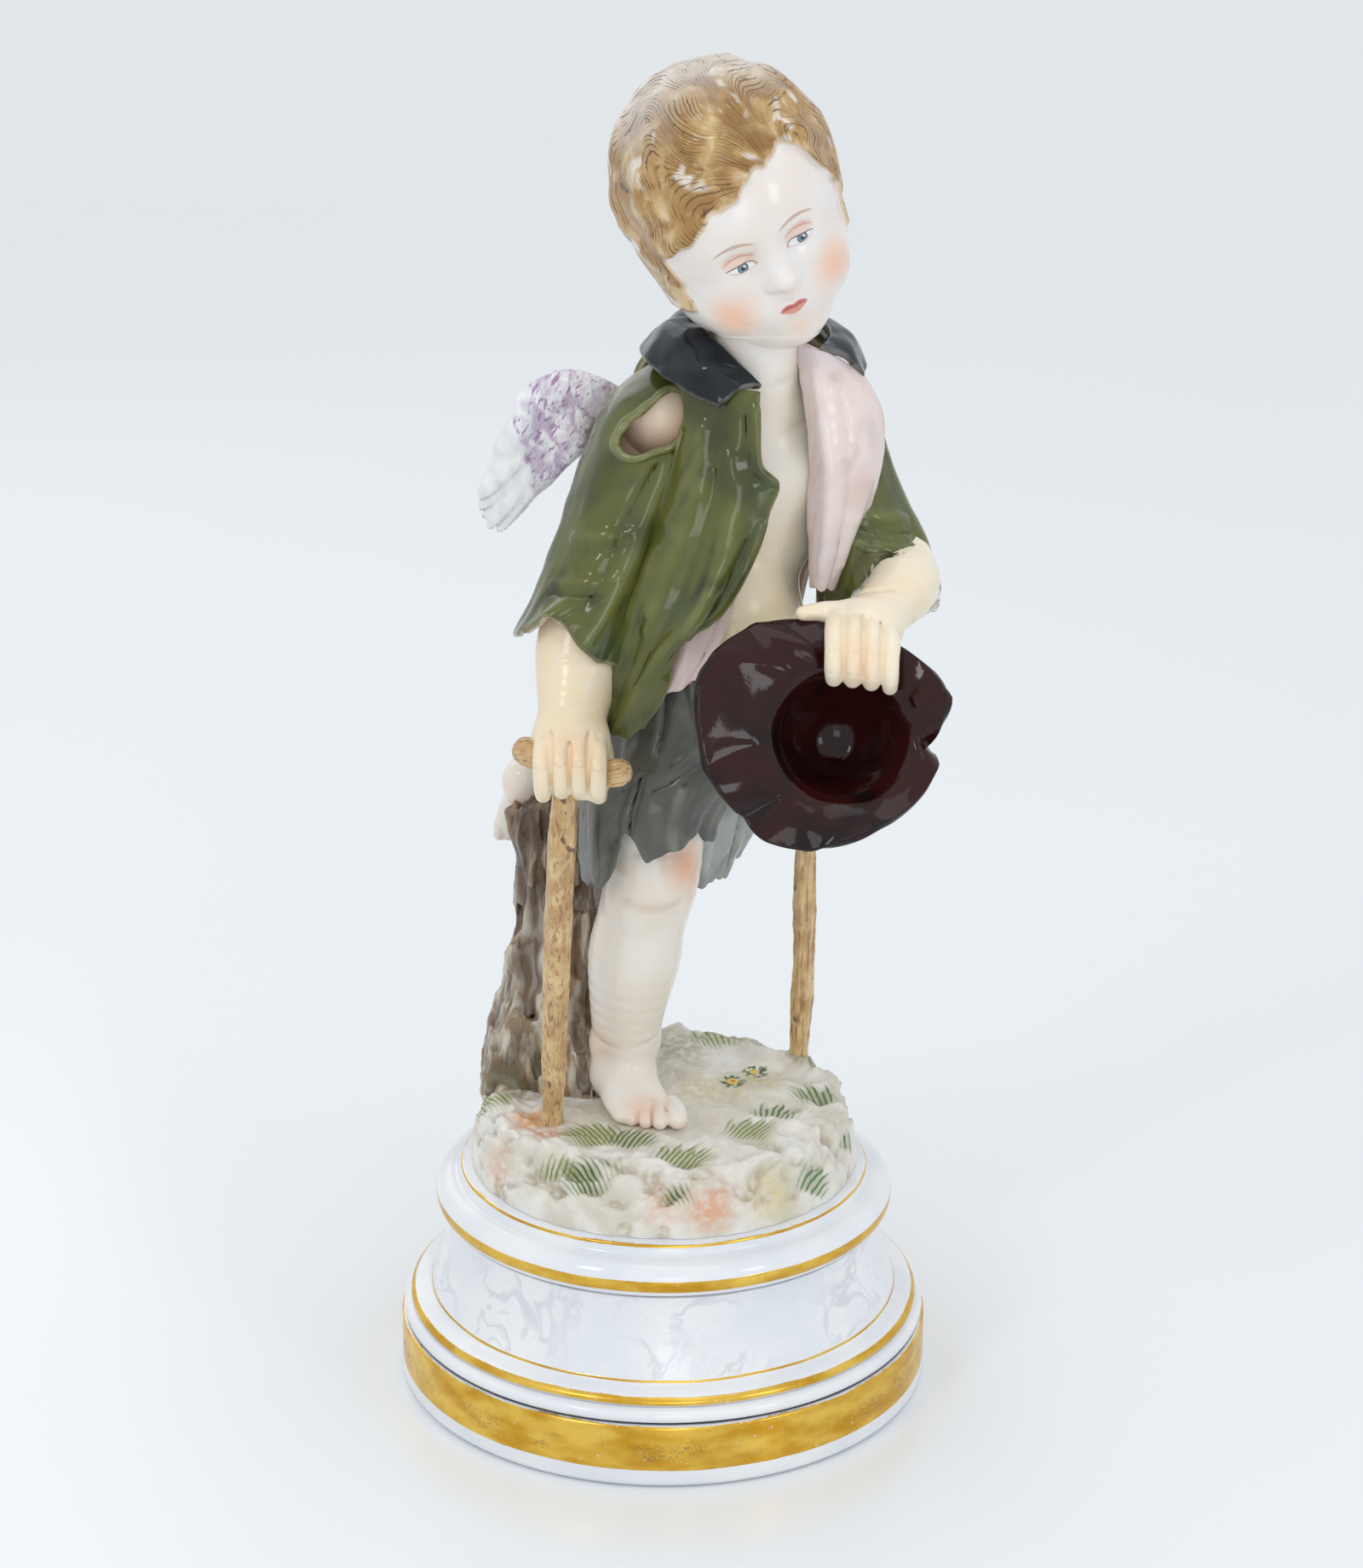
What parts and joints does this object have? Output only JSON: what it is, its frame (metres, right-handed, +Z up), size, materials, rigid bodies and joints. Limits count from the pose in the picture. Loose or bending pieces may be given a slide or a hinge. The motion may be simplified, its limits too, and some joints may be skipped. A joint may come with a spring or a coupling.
{
  "type": "porcelain figurine",
  "caption": "Painted porcelain figurine of a winged child beggar leaning on a crutch and holding out a hat, on a rocky mound and gilded round socle.",
  "frame": {"origin": "centre of the socle's flat underside", "axes": "+Z up through the crown of the head, -Y towards the viewer in front of the figure, +X to that viewer's right"},
  "size_m": [0.084, 0.087, 0.2084],
  "materials": {
    "white_gilt_porcelain": "glossy white glaze with burnished gold bands",
    "rock_glaze": "glossy glaze painted as rock, moss and flowers",
    "bark_glaze": "glossy brown glaze with grey streaks",
    "skin_glaze": "glossy ivory glaze with painted blush",
    "painted_head": "ochre brush-stroked hair over ivory glaze",
    "crutch_wood": "satin glaze painted as wood grain",
    "burgundy_glaze": "very glossy deep burgundy glaze",
    "olive_glaze": "glossy olive green glaze",
    "black_glaze": "glossy blue-black glaze",
    "grey_glaze": "glossy grey glaze",
    "shirt_glaze": "glossy pale pink glaze",
    "feather_glaze": "white glaze with lilac brush strokes"
  },
  "bodies": {
    "root": {"socle": "white_gilt_porcelain", "rock_mound": "rock_glaze", "tree_stump": "bark_glaze", "right_leg": "skin_glaze", "left_leg": "skin_glaze", "torso": "skin_glaze", "head": "painted_head", "right_arm": "skin_glaze", "left_arm": "skin_glaze", "crutch_right_shaft": "crutch_wood", "crutch_right_handle": "crutch_wood", "crutch_left": "crutch_wood", "hat": "burgundy_glaze", "trousers": "grey_glaze", "trouser_leg_left": "grey_glaze", "shirt_tail": "shirt_glaze", "jacket_back": "olive_glaze", "jacket_front_right": "olive_glaze", "jacket_front_left": "shirt_glaze", "sleeve_right": "olive_glaze", "sleeve_left": "olive_glaze", "collar": "black_glaze", "wing_right": "feather_glaze", "wing_left": "feather_glaze"}
  },
  "joints": []
}
